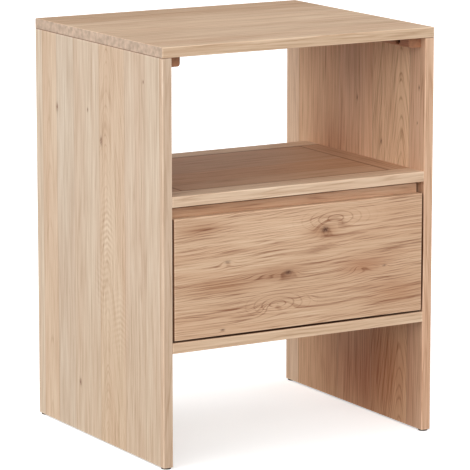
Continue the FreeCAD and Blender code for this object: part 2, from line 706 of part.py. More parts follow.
def make_runner_members():
    """Three nested channels: on the cabinet, between, and on the drawer."""
    full = ("runner_start", "runner_start + runner_length")
    sliding = ("runner_start", f"runner_start + {MEMBER_LENGTH}")
    screw_centres = rows(RUNNER_SCREW_ROWS, RUNNER_AXIS)

    cabinet = make_channel("left_runner_cabinet_member", "0", "cabinet_member_reach",
                           "(runner_height/2)", "runner_metal", full, web_at_near=True)
    drill(cabinet, "Pocket", "side", f"runner_metal - {INNER}", "runner_metal", screw_centres,
          "small_screw_head_width", towards=-1, taper=COUNTERSINK)
    right_twin(cabinet)

    middle = make_channel("left_runner_middle_member", "middle_member_near",
                          "middle_member_reach", MIDDLE_HALF, "runner_metal", sliding,
                          web_at_near=True)
    right_twin(middle)

    drawer = make_channel("left_runner_drawer_member", "drawer_member_near", "runner_gap",
                          DRAWER_MEMBER_HALF, "runner_metal", sliding, web_at_near=False)
    drill(drawer, "Pocket", "side", f"runner_gap - runner_metal - {INNER}", "runner_metal",
          screw_centres, "small_screw_head_width", taper=COUNTERSINK)
    right_twin(drawer)


def make_runner_screws(label, level, towards):
    """Countersunk screws through a member's web, from its exposed face into the wood."""
    centres = rows(RUNNER_SCREW_ROWS, RUNNER_AXIS)
    screws = new_body(label)
    heads = drill(screws, "Pad", "side", level, "runner_metal", centres,
                  "small_screw_head_width", towards, taper=COUNTERSINK)
    shanks = drill(screws, "Pad", "side", level, "runner_metal + small_screw_bite", centres,
                   "small_screw_width", towards)
    crosses = cut_crosses(screws, "side", level, centres, "small_cross", towards)
    mirror_to_right(screws, [heads, shanks, *crosses])


def make_stop_buffers():
    """Rubber blocks at the closed end of the cabinet members."""
    buffers = new_body("runner_stop_buffers")
    rear = "(runner_start + runner_length)"
    blocks = block(buffers, "Pad",
                   (f"runner_metal - {INNER}", f"cabinet_member_reach - {INNER}"),
                   (f"{rear} - buffer_length", rear), heights("buffer_height/2"))
    mirror_to_right(buffers, [blocks])


def make_ball_cage(name, near, race_half, ball_line):
    """A thin cage and its two rows of balls, in the race outside a member."""
    cage = make_channel(f"left_{name}_ball_cage", near, f"({near} + cage_reach)",
                        f"({race_half} + cage_metal/2)", "cage_metal",
                        ("cage_start", "cage_start + cage_length"), web_at_near=True)
    holes = [(f"{ball_line} - {INNER}", f"ball_first + {index}*ball_spacing")
             for index in range(BALLS_PER_ROW)]
    low, high = heights(f"({race_half} + cage_metal)")
    drill(cage, "Pocket", "top", low, f"{high} - ({low})", holes, "ball_hole_width")
    right_twin(cage)

    balls = new_body(f"left_{name}_balls")
    row_ends = []
    for sign in ("-", "+"):
        ball = balls.newObject("PartDesign::AdditiveSphere", f"{balls.Name}_ball")
        ball.setExpression("Radius", bound("ball_width/2"))
        ball.setExpression("AttachmentOffset.Base.x", bound(f"{ball_line} - {INNER}"))
        ball.setExpression("AttachmentOffset.Base.y", bound("ball_first"))
        ball.setExpression("AttachmentOffset.Base.z", bound(f"{RUNNER_AXIS} {sign} {race_half}"))
        ball.AttachmentSupport = [(origin_feature(balls, "XY_Plane"), "")]
        ball.MapMode = "FlatFace"
        row_ends.append(ball)
    doc.recompute()
    pattern = balls.newObject("PartDesign::LinearPattern", f"{balls.Name}_rows")
    pattern.Originals = row_ends
    pattern.Direction = (origin_feature(balls, "Y_Axis"), [""])
    pattern.setExpression("Length", bound(f"{BALLS_PER_ROW - 1}*ball_spacing"))
    pattern.Occurrences = BALLS_PER_ROW
    balls.Tip = pattern
    right_twin(balls)


def make_runners():
    make_runner_members()
    make_runner_screws("runner_cabinet_screws", f"runner_metal - {INNER}", towards=-1)
    make_runner_screws("runner_drawer_screws", f"runner_gap - runner_metal - {INNER}", towards=1)
    make_stop_buffers()
    make_ball_cage("outer", "outer_cage_near", f"({MIDDLE_HALF} + runner_race/2)",
                   "outer_ball_line")
    make_ball_cage("inner", "inner_cage_near", f"({DRAWER_MEMBER_HALF} + runner_race/2)",
                   "inner_ball_line")


# ---------------------------------------------------------------- checks and files

def check_document():
    """Stops when any object failed or any piece is empty or invalid."""
    doc.recompute()
    for item in doc.Objects:
        if {"Invalid", "Error"} & set(item.State):
            raise RuntimeError(f"{item.Label} did not compute: {item.State}")
    for piece in pieces:
        if piece.Shape.isNull() or not piece.Shape.isValid():
            raise RuntimeError(f"{piece.Label} has no valid shape")


def write_pieces():
    os.makedirs("parts", exist_ok=True)
    for piece in pieces:
        piece.Shape.exportStep(f"parts/{piece.Label}.step")


fill_sheet()
make_top_panel()
make_side_panels()
make_bottom_panel()
make_shelf()
make_drawer_bay_back()
make_cleats()
make_cleat_fittings()
make_side_joint_fittings("shelf", "shelf_base")
make_side_joint_fittings("bottom", "bottom_base")
make_upright_dowels()
make_foot_glides()
make_drawer_fronts()
make_drawer_sides()
make_drawer_back()
make_drawer_bottom()
make_drawer_dowels()
make_runners()
check_document()
write_pieces()
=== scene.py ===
"""Looks for the nightstand: oiled oak boards, runner steel and small fittings on a pale floor."""
import math
from collections import namedtuple

import bpy
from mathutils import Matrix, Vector


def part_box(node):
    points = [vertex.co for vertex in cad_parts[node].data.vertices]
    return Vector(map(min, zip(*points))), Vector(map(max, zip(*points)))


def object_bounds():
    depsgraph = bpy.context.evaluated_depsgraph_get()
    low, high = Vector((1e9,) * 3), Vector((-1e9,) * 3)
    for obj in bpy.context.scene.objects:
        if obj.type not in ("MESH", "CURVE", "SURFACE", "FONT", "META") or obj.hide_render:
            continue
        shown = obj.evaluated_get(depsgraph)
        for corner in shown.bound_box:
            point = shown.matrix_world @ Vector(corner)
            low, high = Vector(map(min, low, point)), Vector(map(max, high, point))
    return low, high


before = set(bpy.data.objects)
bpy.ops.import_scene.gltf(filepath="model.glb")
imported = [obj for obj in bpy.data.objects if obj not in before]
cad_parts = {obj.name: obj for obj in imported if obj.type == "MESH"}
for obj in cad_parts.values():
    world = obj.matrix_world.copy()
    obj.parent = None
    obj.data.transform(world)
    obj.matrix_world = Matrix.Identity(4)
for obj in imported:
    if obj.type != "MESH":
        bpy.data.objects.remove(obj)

CAD_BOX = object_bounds()


# ---------------------------------------------------------------- numbers that vary over a surface

class Field:
    """A number that varies over a surface: the output of one shader node."""

    def __init__(self, tree, socket):
        self.tree = tree
        self.socket = socket

    def math(self, operation, *others, clamp=False):
        """This field put through a Math node, with other fields or plain numbers."""
        node = self.tree.nodes.new("ShaderNodeMath")
        node.operation = operation
        node.use_clamp = clamp
        for place, term in enumerate((self,) + others):
            plug(self.tree, term, node.inputs[place])
        return Field(self.tree, node.outputs[0])

    def __add__(self, other):
        return self.math("ADD", other)

    def __sub__(self, other):
        return self.math("SUBTRACT", other)

    def __mul__(self, other):
        return self.math("MULTIPLY", other)

    def __truediv__(self, other):
        return self.math("DIVIDE", other)

    def above(self, limit):
        """1 where this field is over a limit, and 0 elsewhere."""
        return self.math("GREATER_THAN", limit)

    def squared(self):
        """This field times itself."""
        return self * self

    def bell(self):
        """exp(-x), which turns a squared distance into a smooth bump."""
        return (self * -1).math("EXPONENT")

    def clamped(self):
        """This field held between 0 and 1."""
        return self.math("ADD", 0.0, clamp=True)


def plug(tree, term, socket):
    """Feeds a socket from a field, or sets it to a plain number."""
    if isinstance(term, Field):
        tree.links.new(term.socket, socket)
    else:
        socket.default_value = term


def noise(place, stretch, detail=2.0, seed=0.0):
    """Noise about zero, with its own number of waves per unit along each direction."""
    tree = place[0].tree
    joined = tree.nodes.new("ShaderNodeCombineXYZ")
    for term, waves, socket in zip(place, stretch, joined.inputs):
        plug(tree, term * waves, socket)
    texture = tree.nodes.new("ShaderNodeTexNoise")
    texture.noise_dimensions = "4D"
    texture.inputs["Scale"].default_value = 1.0
    texture.inputs["Detail"].default_value = detail
    plug(tree, seed, texture.inputs["W"])
    tree.links.new(joined.outputs[0], texture.inputs["Vector"])
    return Field(tree, texture.outputs["Fac"]) - 0.5


def ramp(field, stops, interpolation="LINEAR"):
    """A colour ramp over (position, colour) stops, with colours as linear RGB."""
    node = field.tree.nodes.new("ShaderNodeValToRGB")
    node.color_ramp.interpolation = interpolation
    elements = node.color_ramp.elements
    while len(elements) < len(stops):
        elements.new(1.0)
    for element, (position, colour) in zip(elements, stops):
        element.position = position
        element.color = (*colour, 1.0)
    plug(field.tree, field, node.inputs["Fac"])
    return node.outputs["Color"]


def split(tree, socket):
    """The three numbers in a vector or colour socket."""
    node = tree.nodes.new("ShaderNodeSeparateXYZ")
    tree.links.new(socket, node.inputs[0])
    return [Field(tree, output) for output in node.outputs]


def tinted(tree, first, second, factor, blend="MIX"):
    """Two colour sockets mixed by a field or a plain number."""
    node = tree.nodes.new("ShaderNodeMix")
    node.data_type = "RGBA"
    node.blend_type = blend
    plug(tree, factor, node.inputs["Factor"])
    for socket, colour in ((node.inputs["A"], first), (node.inputs["B"], second)):
        if isinstance(colour, tuple):
            socket.default_value = (*colour, 1.0)
        else:
            tree.links.new(colour, socket)
    return node.outputs["Result"]


def rgb(red, green, blue):
    """Linear RGB from the 0 to 255 numbers that a colour picker shows."""
    def linear(level):
        level = level / 255
        return level / 12.92 if level <= 0.04045 else ((level + 0.055) / 1.055) ** 2.4
    return (linear(red), linear(green), linear(blue))


def add_bump(tree, shader, height, strength, distance):
    """Gives a shader fine relief from a height field; distance is its depth in metres."""
    bump = tree.nodes.new("ShaderNodeBump")
    bump.inputs["Strength"].default_value = strength
    bump.inputs["Distance"].default_value = distance
    plug(tree, height, bump.inputs["Height"])
    tree.links.new(bump.outputs[0], shader.inputs["Normal"])


def new_material(name, roughness, metallic=0.0):
    """A material with a plain Principled shader, and that shader."""
    material = bpy.data.materials.new(name)
    material.use_nodes = True
    shader = material.node_tree.nodes["Principled BSDF"]
    shader.inputs["Roughness"].default_value = roughness
    shader.inputs["Metallic"].default_value = metallic
    return material, shader


def dress(node, material):
    """Gives a CAD node its material."""
    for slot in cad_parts[node].material_slots:
        slot.material = material


# ---------------------------------------------------------------- oak

AXES = "XYZ"
RING = 0.0030                # metres of growth in a year
PITH_REACH = 0.12            # the deepest pith that a stave can state
LEAN_REACH = 0.5             # the steepest cone that a stave can state
GLUE_LINE = 0.0007           # half the width of the dark line between two staves
JOINT = 0.0009               # the same, where two boards meet; the line is partly painted shade in the groove there
SHELF_JOINT = 0.0016         # the same, where the loose shelf panel meets its frame, also partly painted shade
SHELF_REAR_JOINT = 0.0024    # the same, where it meets the rear rail
EDGE_HIGHLIGHT_WIDTH = 0.0017               # how far from a board's sharp edges a painted highlight reaches
EDGE_HIGHLIGHT_TINT = (1.30, 1.36, 1.42)  # how much paler that painted highlight is, as a multiplier
EYE_RINGS = 6.0              # a coreless knot that bends more rings than this shows as an eye
FACING = 0.7                 # a surface faces along an axis if its normal's share is over this
GOLDEN_ANGLE = 2.399         # a turn in radians that spreads numbers evenly without repeating

# One glued strip of a board. edge: where it ends across the board. heart: where the middle of
# its log lies across the board. pith: how deep that middle lies. lean: how fast the rings
# widen along the grain, which makes pointed arches. figure: how strongly its rings show, from
# 0 to 1. tint: its own tone.
Stave = namedtuple("Stave", "edge heart pith lean figure tint")
# A knot: its place along and across the grain, its half sizes, how many rings it bends, and
# how dark its core is. A core of 0 leaves only bent rings.
Knot = namedtuple("Knot", "along across length width rings core")
# A soft patch of another tone: its place along and across the grain, its half sizes, its tint.
Patch = namedtuple("Patch", "along across length width tint")
# A patch of ripple that crosses the grain in nested arrowheads: its place and half sizes, the
# distance from one arrowhead to the next, how far its sides fall for each metre across, and
# how much it darkens the wood.
Curl = namedtuple("Curl", "along across length width pitch fall strength")
# Which way a board lies: the axis of its grain, the axis across its face, where the face is
# on the third axis, and 1 or -1 for the way from that face into the board.
Lie = namedtuple("Lie", "grain width face inward")
# The colours of pale, usual and dark wood, of knots and of end grain.
Palette = namedtuple("Palette", "light body dark knot end")

# A kind of noise: its waves per metre along the grain, across it and into the board, how much
# finer detail rides on them, and an offset that keeps each kind apart from the others.
Kind = namedtuple("Kind", "waves detail offset")
SWAY = Kind((3.2, 9.0, 9.0), 1.0, 0.0)            # the slow wander of the whole log
RIPPLE = Kind((24.0, 60.0, 60.0), 2.0, 3.1)       # small waves in its rings
SHOWING = Kind((14.0, 90.0, 90.0), 2.0, 11.0)     # where ring lines show, and where they fade
FIBRE = Kind((12.0, 460.0, 460.0), 3.0, 1.7)
STREAK = Kind((3.2, 110.0, 110.0), 2.0, 4.9)
CLOUD = Kind((2.6, 18.0, 18.0), 2.0, 8.8)
PORE = Kind((55.0, 800.0, 800.0), 1.0, 5.5)
BLUSH = Kind((2.6, 34.0, 34.0), 2.0, 21.0)        # pinker parts of a board
# Kinds that follow the rings: waves per year of growth, then per metre along and into the board.
RING_LINES = Kind((0.50, 5.0, 0.0), 1.0, 2.0)
RING_BANDS = Kind((0.10, 1.8, 0.0), 2.0, 6.0)
# Waves per metre of the noise that needs no seed.
EYE_WOBBLE = (22.0, 60.0, 60.0)
CORE_SPECKLE = (320.0, 420.0, 420.0)
END_MOTTLE = (30.0, 120.0, 120.0)

SWAY_REACH = 0.022           # how far, in metres, a whole unit of sway moves the rings
RIPPLE_REACH = 0.0032        # the same for the ripple
RING_TURN = 2.6              # radians of the even lines, which are a sine, for each year
LINE_SHARPNESS = 14.0        # how quickly a ring line fades to its sides
EYE_TURN = 7.0               # radians of the ovals in an eye, for each half size out
EYE_WOBBLE_TURN = 2.4        # how many radians a unit of noise shifts them
EYE_SHARPNESS = 2.2          # how quickly each oval fades to its sides
EYE_SPREAD = 0.45            # how quickly the whole eye fades outwards
CORE_SPREAD = 6.0            # how quickly a knot's core does, against the knot's half sizes
BLUSH_TINT = rgb(232, 205, 188)

# How much each feature darkens the wood. The shade goes from 0, light, to 1, dark.
EVEN_WEIGHT = 0.10
LINE_WEIGHT = 0.62
BAND_WEIGHT = 0.18
EYE_WEIGHT = 0.50
FIBRE_WEIGHT = 1.25
STREAK_WEIGHT = 0.14
CLOUD_WEIGHT = 0.36
PORE_WEIGHT = 0.30
USUAL_SHADE = 0.32

OAK = Palette(light=rgb(232, 210, 185), body=rgb(214, 187, 159), dark=rgb(170, 134, 104),
              knot=rgb(112, 66, 38), end=rgb(194, 169, 148))
# The drawer's end grain is painted darker than oak's own end grain, as shade in the gap round its
# face.
DRAWER_OAK = Palette(light=rgb(232, 204, 173), body=rgb(214, 179, 146), dark=rgb(150, 104, 74),
                     knot=rgb(92, 54, 36), end=rgb(142, 100, 72))
# The cleats' oak: painted darker as shade under the top, and redder as their own tone; its end
# grain darker still, as painted shade.
SHADED_CLEAT_OAK = Palette(light=rgb(196, 146, 114), body=rgb(172, 118, 88), dark=rgb(126, 80, 56),
                    knot=rgb(82, 46, 30), end=rgb(158, 108, 76))

# Tones of single staves, as multipliers of the board's colour.
PLAIN = (1.00, 1.00, 1.00)
PALE = (1.05, 1.06, 1.07)
WARM = (1.00, 0.95, 0.90)
PINK = (0.99, 0.92, 0.88)
DEEP = (0.88, 0.83, 0.78)
DUSK = (1.08, 1.05, 1.04)
GREY = (0.97, 0.99, 1.01)


def stave_numbers(across, staves, low, high):
    """The heart, pith, lean and figure of the stave at each point across a board, and its tint.

    A ramp holds numbers from 0 to 1, so the first three go in scaled and come out restored. A
    heart may lie as far as one board's width outside the board.
    """
    tree = across.tree
    width = high - low
    share = (across - low) / width
    starts = [0.0] + [(stave.edge - low) / width for stave in staves[:-1]]

    def steps(values):
        return ramp(share, list(zip(starts, values)), "CONSTANT")

    shape = steps([((stave.heart - low) / width / 3 + 1 / 3, stave.pith / PITH_REACH,
                    stave.lean / LEAN_REACH / 2 + 0.5) for stave in staves])
    tint = steps([stave.tint for stave in staves])
    strength = steps([(stave.figure,) * 3 for stave in staves])
    heart, pith, lean = split(tree, shape)
    heart = (heart - 1 / 3) * (3 * width) + low
    figure = split(tree, strength)[0]
    return (heart, pith * PITH_REACH, (lean - 0.5) * (2 * LEAN_REACH), figure), tint


def near_lines(spots):
    """1 on a few fine lines and 0 elsewhere, from (place, line, half width) triples."""
    total = None
    for place, line, half in spots:
        near = ((place - line) / half).squared().bell()
        total = near if total is None else total + near
    return total.clamped()


def near_arris(place, box):
    """1 along a board's sharp edges, where a painted highlight goes, and 0 elsewhere.

    An edge is where two of the three distances to the board's faces are small at once, so the
    middle one of the three says how near it is.
    """
    depths = []
    for axis, low, high in zip(AXES, *box):
        below = (place[axis] - low).math("ABSOLUTE")
        above = (place[axis] - high).math("ABSOLUTE")
        depths.append(below.math("MINIMUM", above))
    first, second, third = depths
    least = first.math("MINIMUM", second).math("MINIMUM", third)
    most = first.math("MAXIMUM", second).math("MAXIMUM", third)
    middle = first + second + third - least - most
    return (middle / EDGE_HIGHLIGHT_WIDTH).squared().bell()


def near_spot(here, spot):
    """The squared distance from a knot, patch or curl, in its own half sizes."""
    along, across, _ = here
    return (((along - spot.along) / spot.length).squared()
            + ((across - spot.across) / spot.width).squared())


def grain_noise(here, kind, seed, fineness=1.0):
    """Noise of one kind; fineness packs its waves closer across the grain."""
    along, across, deep = kind.waves
    waves = (along, across * fineness, deep * fineness)
    return noise(here, waves, kind.detail, seed + kind.offset)


def growth(here, heart, pith, lean, seed, knots, ring, wander):
    """How many years of growth lie between the pith and each point, bent around knots."""
    along, across, depth = here
    sway = grain_noise(here, SWAY, seed) * (SWAY_REACH * wander)
    ripple = grain_noise(here, RIPPLE, seed) * (RIPPLE_REACH * wander)
    from_pith = (across - heart + sway).squared() + (pith + depth).squared()
    radius = from_pith.math("SQRT") + lean * along + ripple
    for knot in knots:
        radius = radius + near_spot(here, knot).bell() * (knot.rings * ring)
    return radius / ring


def growth_tone(here, years, seed):
    """Tone that follows the rings: fine dark lines, over wider bands of good and poor years."""
    along, _, depth = here
    in_rings = (years, along, depth)
    even = (years * RING_TURN).math("SINE") * EVEN_WEIGHT
    lines = grain_noise(in_rings, RING_LINES, seed) + even
    fine = (lines.math("ABSOLUTE") * -LINE_SHARPNESS + 1.0).clamped()
    bands = grain_noise(in_rings, RING_BANDS, seed)
    showing = (grain_noise(here, SHOWING, seed) * 2.4 + 0.60).clamped()
    return fine * showing * LINE_WEIGHT + bands * BAND_WEIGHT


def eye_tone(here, knots):
    """The nested ovals that wide rings leave round each knot that has no core of its own."""
    total = None
    for knot in knots:
        if not knot.core and knot.rings > EYE_RINGS:
            spot = near_spot(here, knot)
            ovals = spot.math("SQRT") * EYE_TURN + noise(here, EYE_WOBBLE) * EYE_WOBBLE_TURN
            lines = (ovals.math("SINE").math("ABSOLUTE") * -EYE_SHARPNESS + 1.0).clamped()
            eye = lines * (spot * EYE_SPREAD).bell()
            total = eye if total is None else total + eye
    return total


def fibre_tone(here, seed, fineness):
    """Tone that runs straight along the board: short fibres, streaks and slow clouds."""
    fibre = grain_noise(here, FIBRE, seed, fineness)
    streak = grain_noise(here, STREAK, seed, fineness)
    cloud = grain_noise(here, CLOUD, seed)
    return fibre * FIBRE_WEIGHT + streak * STREAK_WEIGHT + cloud * CLOUD_WEIGHT


def curl_tone(here, curls):
    """Tone of the ripples that cross the grain."""
    along, across, _ = here
    total = None
    for curl in curls:
        fallen = along + (across - curl.across).math("ABSOLUTE") * curl.fall
        wave = (fallen * (2 * math.pi / curl.pitch)).math("SINE")
        ripple = wave * near_spot(here, curl).bell() * curl.strength
        total = ripple if total is None else total + ripple
    return total


def third_axis(first, second):
    """The name of the axis that is neither of two."""
    return next(axis for axis in AXES if axis not in (first, second))


def patched(tree, colour, here, patches, grainy, allowed):
    """A colour with soft patches of other tones, where allowed is 1, broken up by the grain."""
    for patch in patches:
        near = (near_spot(here, patch).bell() * grainy).clamped() * allowed
        colour = tinted(tree, colour, patch.tint, near, "MULTIPLY")
    return colour


def cored(tree, colour, here, knots, dark):
    """A colour with the dark, speckled cores of the knots that have one."""
    for knot in knots:
        if knot.core:
            core = (near_spot(here, knot) * CORE_SPREAD).bell() * knot.core
            speckle = noise(here, CORE_SPECKLE, 3.0) * 2.4 + 1.0
            colour = tinted(tree, colour, dark, (core * speckle).clamped())
    return colour


def sawn_end(here, colour):
    """The mottled look of end grain about its colour."""
    mottle = (noise(here, END_MOTTLE, 4.0) * 3.2 + 0.5).clamped()
    return ramp(mottle, [(0.0, tuple(level * 0.76 for level in colour)),
                         (1.0, tuple(level * 1.18 for level in colour))])


def board_frame(tree, lie):
    """Where a point is on the object and in its board, and which of the board's faces it is on.

    The last item has three fields, which are 1 on the near face, the far face and the ends.
    """
    coordinates = tree.nodes.new("ShaderNodeTexCoord")
    place = dict(zip(AXES, split(tree, coordinates.outputs["Object"])))
    normal = dict(zip(AXES, split(tree, coordinates.outputs["Normal"])))
    depth_axis = third_axis(lie.grain, lie.width)
    here = (place[lie.grain], place[lie.width], (place[depth_axis] - lie.face) * lie.inward)
    near = (normal[depth_axis] * -lie.inward).above(FACING)
    far = (normal[depth_axis] * lie.inward).above(FACING)
    ends = normal[lie.grain].math("ABSOLUTE").above(FACING)
    return place, here, (near, far, ends)


def figure_tones(here, numbers, seed, knots, curls, ring, wander, fineness):
    """The tones of a board's rings, of its fibres and of its open pores."""
    heart, pith, lean, figure = numbers
    years = growth(here, heart, pith, lean, seed, knots, ring, wander)
    rings = growth_tone(here, years, seed) * figure
    eyes = eye_tone(here, knots)
    if eyes:
        rings = rings + eyes * EYE_WEIGHT
    fibres = fibre_tone(here, seed, fineness)
    if curls:
        fibres = fibres + curl_tone(here, curls)
    pores = (grain_noise(here, PORE, seed) - 0.10).clamped() * 3.2
    return rings, fibres, pores


def oak(name, lie, box, staves, knots=(), patches=(), gaps=(), curls=(), seams=(), palette=OAK,
        cast=PLAIN, far_cast=None, ring=RING, wander=1.0, fineness=1.0, contrast=1.0):
    """Solid oak: growth rings around each stave's own pith, with fibres, pores and knots.

    patches are tones everywhere but on the far face, and gaps are painted shadows on the near one.
    far_cast takes the place of cast on the far face. seams are dark lines, partly painted shade
    in the grooves where boards meet, as (axis, place, half width) triples.
    """
    material, shader = new_material(name, 0.5)
    tree = material.node_tree
    place, here, (near, far, ends) = board_frame(tree, lie)
    across = here[1]
    low, high = (corner[AXES.index(lie.width)] for corner in box)
    numbers, tint = stave_numbers(across, staves, low, high)
    seed = numbers[0] * 61 + numbers[1] * 170    # differs from stave to stave
    rings, fibres, pores = figure_tones(here, numbers, seed, knots, curls, ring, wander, fineness)
    shade = ((rings + fibres + pores * PORE_WEIGHT) * contrast + USUAL_SHADE).clamped()

    colour = ramp(shade, [(0.0, palette.light), (0.40, palette.body), (1.0, palette.dark)])
    colour = tinted(tree, colour, tint, 1.0, "MULTIPLY")
    if far_cast:
        cast = tinted(tree, cast, far_cast, far)
    colour = tinted(tree, colour, cast, 1.0, "MULTIPLY")
    blush = (grain_noise(here, BLUSH, seed) * 2.4 + 0.20).clamped() * 0.45
    colour = tinted(tree, colour, BLUSH_TINT, blush, "MULTIPLY")
    grainy = rings * 0.5 + fibres * 0.4 + 0.85
    colour = patched(tree, colour, here, patches, grainy, far * -1 + 1)
    colour = cored(tree, colour, here, knots, palette.knot)
    if len(staves) > 1:
        glue = near_lines([(across, stave.edge, GLUE_LINE) for stave in staves[:-1]])
        colour = tinted(tree, colour, palette.dark, glue * 0.55)
    # Painted shade in the gap round the drawer's face, on the near face only.
    for gap in gaps:
        shadow = near_spot(here, gap).squared().bell() * near
        colour = tinted(tree, colour, gap.tint, shadow, "MULTIPLY")
    colour = tinted(tree, colour, sawn_end(here, palette.end), ends * 0.9)
    # A painted highlight along the sharp edges, left off the end grain.
    edge_highlight = near_arris(place, box) * (ends * -0.75 + 0.75)
    colour = tinted(tree, colour, EDGE_HIGHLIGHT_TINT, edge_highlight, "MULTIPLY")
    # Dark lines at the joints, partly painted shade in their grooves.
    if seams:
        dark = near_lines([(place[axis], line, half) for axis, line, half in seams])
        colour = tinted(tree, colour, palette.knot, dark * 0.85)

    tree.links.new(colour, shader.inputs["Base Color"])
    plug(tree, shade * 0.14 + 0.50 + ends * 0.12, shader.inputs["Roughness"])
    add_bump(tree, shader, fibres * 0.5 - pores * 0.9 - rings * 0.25, 0.35, 0.0004)
    return material


def edge_glued(seed, low, high, widths, tints, pith=(0.02, 0.09), lean=0.04, figure=0.6):
    """Staves of the given relative widths, with hearts that step about and their own tints."""
    staves = []
    start = low
    total = sum(widths)
    for count, (width, tint) in enumerate(zip(widths, tints)):
        turn = math.sin(seed + GOLDEN_ANGLE * count)
        end = start + (high - low) * width / total
        middle = start + (end - start) * (0.5 + 1.6 * turn)
        depth = pith[0] + (pith[1] - pith[0]) * (0.5 + 0.5 * math.cos(seed * 3 + count))
        staves.append(Stave(end, middle, depth, lean * turn, figure, tint))
        start = end
    return staves


def board_lie(node, grain, width, face_is_low):
    """How a board lies, with the depth counted from one of its two faces."""
    low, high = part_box(node)
    index = AXES.index(third_axis(grain, width))
    return Lie(grain, width, low[index] if face_is_low else high[index], 1 if face_is_low else -1)


def dress_oak(node, grain, width, face_is_low, staves, **choices):
    """Gives a board its own oak. Its near face is the low or the high one on its thin axis."""
    lie = board_lie(node, grain, width, face_is_low)
    dress(node, oak(f"oak_{node}", lie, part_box(node), staves, **choices))


FRONT = CAD_BOX[0][1]                 # where the cabinet's front edges lie, along Y
FACE_MIDDLE = sum(corner[2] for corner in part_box("drawer_face")) / 2
PAINTED_GAP_SHADE = (0.24, 0.12, 0.06)         # painted shade on the oak in the gap round the drawer's face
GAP_DEPTH = 0.008                     # how far behind the front that painted shade is centred
GAP_SPREAD = 0.010                    # and how far it reaches from there
# Casts: the tone of a whole board, as a multiplier.
SIDE_CAST = (0.925, 0.965, 1.01)
# Painted warm bounce light and shade on the inside face of the right side.
INSIDE_BOUNCE_CAST = (1.10, 0.965, 0.86)
# Painted shade on the shelf's panel and side rails, inside the cabinet.
SHELF_SHADE_CAST = (0.79, 0.625, 0.53)
# The shelf's front and rear rails, left without that painted shade.
SHELF_EDGE_CAST = (1.05, 1.02, 1.00)
TOP_CAST = (0.875, 0.810, 0.745)
FACE_CAST = (0.94, 0.905, 0.89)
BOX_FRONT_CAST = (0.88, 0.80, 0.77)
PALER = (1.15, 1.22, 1.28)            # the tint of a patch that is paler than its board


def gap_shade(middle, half):
    """The painted shade behind the drawer's face, about a middle along the board's grain."""
    return Patch(middle, FRONT + GAP_DEPTH, half, GAP_SPREAD, PAINTED_GAP_SHADE)


def dress_left_side():
    """Eight upright staves, pale and a little grey, with small knots and patches of ripple."""
    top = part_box("left_side_panel")[1][2]
    staves = [
        Stave(-0.1845, -0.250, 0.030, 0.00, 0.6, PINK),
        Stave(-0.141, -0.230, 0.030, 0.01, 0.5, PLAIN),
        Stave(-0.082, -0.170, 0.060, -0.01, 0.5, (0.99, 0.965, 0.955)),
        Stave(-0.007, -0.028, 0.010, 0.24, 0.6, WARM),
        Stave(0.071, 0.140, 0.030, -0.02, 0.5, PLAIN),
        Stave(0.125, 0.040, 0.050, 0.02, 0.4, GREY),
        Stave(0.170, 0.150, 0.020, 0.05, 0.4, WARM),
        Stave(0.193, 0.260, 0.040, 0.02, 0.4, PLAIN),
    ]
    knots = (
        Knot(0.4765, 0.1246, 0.016, 0.0070, 1.8, 0.85),
        Knot(0.4846, 0.0289, 0.008, 0.0040, 1.0, 0.80),
        Knot(0.4450, -0.0116, 0.016, 0.0060, 2.2, 0.90),
        Knot(0.5458, -0.1377, 0.006, 0.0035, 0.8, 0.80),
        Knot(0.0764, 0.0578, 0.014, 0.0065, 1.8, 0.80))
    curls = (
        Curl(0.315, -0.028, 0.042, 0.014, 0.0090, 0.5, 0.24),
        Curl(0.190, -0.066, 0.040, 0.020, 0.0085, 0.4, 0.12),
        Curl(0.235, -0.014, 0.040, 0.018, 0.0095, -0.4, 0.10))
    low_front = Patch(0.060, -0.060, 0.180, 0.180, rgb(244, 241, 236))
    dress_oak("left_side_panel", "Z", "Y", True, staves, knots=knots, patches=[low_front],
              curls=curls, seams=[("Z", top, JOINT)], cast=SIDE_CAST, fineness=0.75,
              contrast=0.9)


def dress_right_side():
    """Five upright staves: a pale one at the rear, dusky ones in the middle, arches in front."""
    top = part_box("right_side_panel")[1][2]
    staves = [
        Stave(-0.152, -0.250, 0.040, 0.02, 0.7, (0.91, 0.88, 0.905)),
        Stave(-0.053, -0.131, 0.012, 0.16, 1.0, (1.05, 1.07, 1.06)),
        Stave(0.040, -0.160, 0.050, 0.02, 0.7, DUSK),
        Stave(0.155, 0.240, 0.055, 0.03, 0.6, WARM),
        Stave(0.193, 0.020, 0.030, -0.03, 0.6, (1.05, 1.11, 1.20)),
    ]
    knots = (
        Knot(0.4753, -0.0101, 0.010, 0.0045, 1.5, 0.80),
        Knot(0.4179, -0.0769, 0.009, 0.0045, 1.2, 0.80),
        Knot(0.5098, -0.1769, 0.009, 0.0040, 1.2, 0.85),
        Knot(0.4580, -0.1730, 0.005, 0.0030, 0.8, 0.70))
    patches = (
        Patch(0.530, 0.004, 0.085, 0.042, rgb(218, 212, 210)),
        Patch(0.395, 0.045, 0.055, 0.060, rgb(220, 200, 186)),
        Patch(0.085, -0.090, 0.120, 0.085, rgb(209, 163, 128)),
        Patch(0.055, -0.020, 0.075, 0.075, rgb(214, 184, 164)),
        Patch(0.080, 0.070, 0.100, 0.080, rgb(238, 222, 212)))
    # The inside face gets painted warm bounce light, and painted shade in the gap beside the
    # drawer's face.
    dress_oak("right_side_panel", "Z", "Y", True, staves, knots=knots, patches=patches,
              gaps=[gap_shade(FACE_MIDDLE, 0.090)], seams=[("Z", top, JOINT)],
              cast=INSIDE_BOUNCE_CAST, far_cast=SIDE_CAST)


